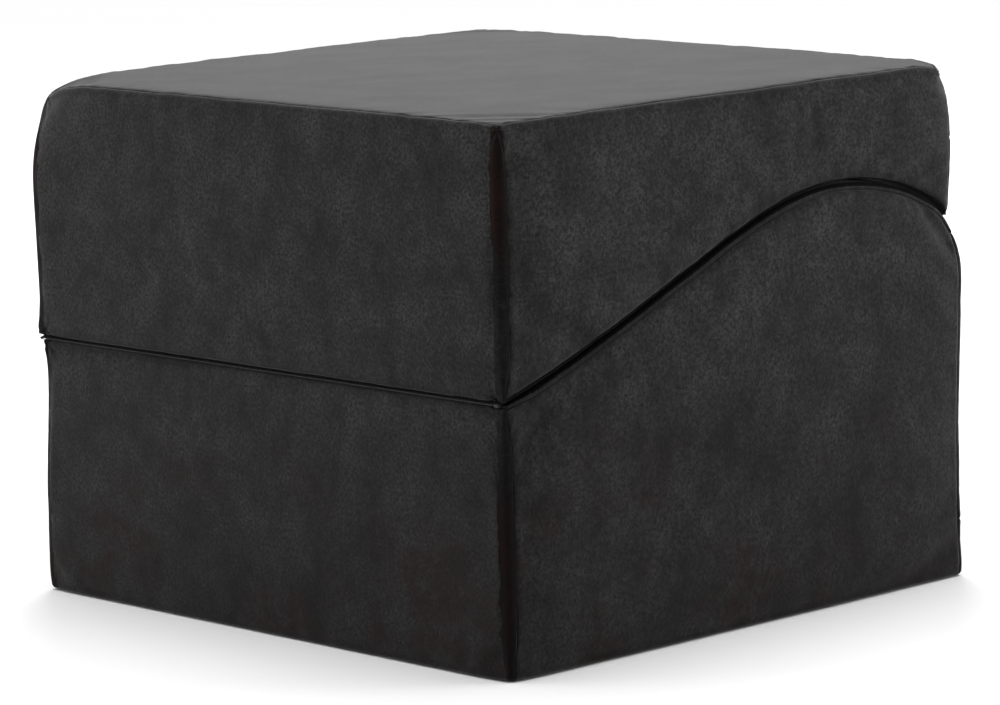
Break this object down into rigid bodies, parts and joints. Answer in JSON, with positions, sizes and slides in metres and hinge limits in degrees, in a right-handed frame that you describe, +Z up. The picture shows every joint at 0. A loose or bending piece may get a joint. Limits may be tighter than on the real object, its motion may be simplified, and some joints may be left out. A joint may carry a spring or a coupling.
{
  "type": "folding foam ottoman",
  "caption": "Square upholstered foam ottoman that parts along a wave-shaped line and folds out over a fabric hinge into a low wave-shaped lounger.",
  "frame": {"origin": "middle of the underside, on the floor", "axes": "+X along the fabric hinge, +Y from the hinge face to the back, +Z up"},
  "size_m": [0.81, 0.7649, 0.62],
  "materials": {
    "velvet": "short-pile velvet, near-black",
    "grip_cloth": "woven cloth with rubber grip dots",
    "liner_tricot": "thin knitted tricot",
    "foam": "open-cell polyurethane foam, matte",
    "hinge_tape": "strong woven tape, matte",
    "zip_tape": "woven polyester tape",
    "zip_nylon": "nylon coil, satin",
    "zip_metal": "black-coated zinc, satin"
  },
  "bodies": {
    "lower_block": {"lower_foam_core": "foam", "lower_liner": "liner_tricot", "lower_front_panel": "velvet", "lower_left_side_panel": "velvet", "lower_right_side_panel": "velvet", "lower_wave_panel": "velvet", "lower_base_panel": "grip_cloth", "lower_back_panel_low": "velvet", "lower_back_panel_high": "velvet", "lower_hinge_leaf": "hinge_tape", "lower_zip_tape_high": "zip_tape", "lower_zip_tape_low": "zip_tape", "lower_zip_teeth_high": "zip_nylon", "lower_zip_teeth_low": "zip_nylon", "lower_zip_stop_left": "zip_metal", "lower_zip_stop_right": "zip_metal"},
    "lower_zip_slider": {"lower_zip_slider": "zip_metal"},
    "lower_zip_pull": {"lower_zip_pull": "zip_metal"},
    "upper_block": {"upper_foam_core": "foam", "upper_liner": "liner_tricot", "upper_front_panel": "velvet", "upper_left_side_panel": "velvet", "upper_right_side_panel": "velvet", "upper_wave_panel": "velvet", "upper_top_panel": "velvet", "upper_back_panel_low": "velvet", "upper_back_panel_high": "velvet", "upper_hinge_leaf": "hinge_tape", "upper_zip_tape_high": "zip_tape", "upper_zip_tape_low": "zip_tape", "upper_zip_teeth_high": "zip_nylon", "upper_zip_teeth_low": "zip_nylon", "upper_zip_stop_left": "zip_metal", "upper_zip_stop_right": "zip_metal"},
    "upper_zip_slider": {"upper_zip_slider": "zip_metal"},
    "upper_zip_pull": {"upper_zip_pull": "zip_metal"}
  },
  "joints": [
    {"name": "fold_out", "type": "hinge", "parent": "lower_block", "child": "upper_block", "pos_m": [0, -0.3815, 0.31], "axis": [1, 0, 0], "range_deg": [0, 180]},
    {"name": "lower_zip_slide", "type": "slide", "parent": "lower_block", "child": "lower_zip_slider", "axis": [-1, 0, 0], "range_m": [0, 0.718]},
    {"name": "lower_pull_swing", "type": "hinge", "parent": "lower_zip_slider", "child": "lower_zip_pull", "pos_m": [0.359, 0.3827, 0.07], "axis": [0, 0, -1], "range_deg": [0, 180]},
    {"name": "upper_zip_slide", "type": "slide", "parent": "upper_block", "child": "upper_zip_slider", "axis": [-1, 0, 0], "range_m": [0, 0.718]},
    {"name": "upper_pull_swing", "type": "hinge", "parent": "upper_zip_slider", "child": "upper_zip_pull", "pos_m": [0.359, 0.3827, 0.53], "axis": [0, 0, -1], "range_deg": [0, 180]}
  ]
}
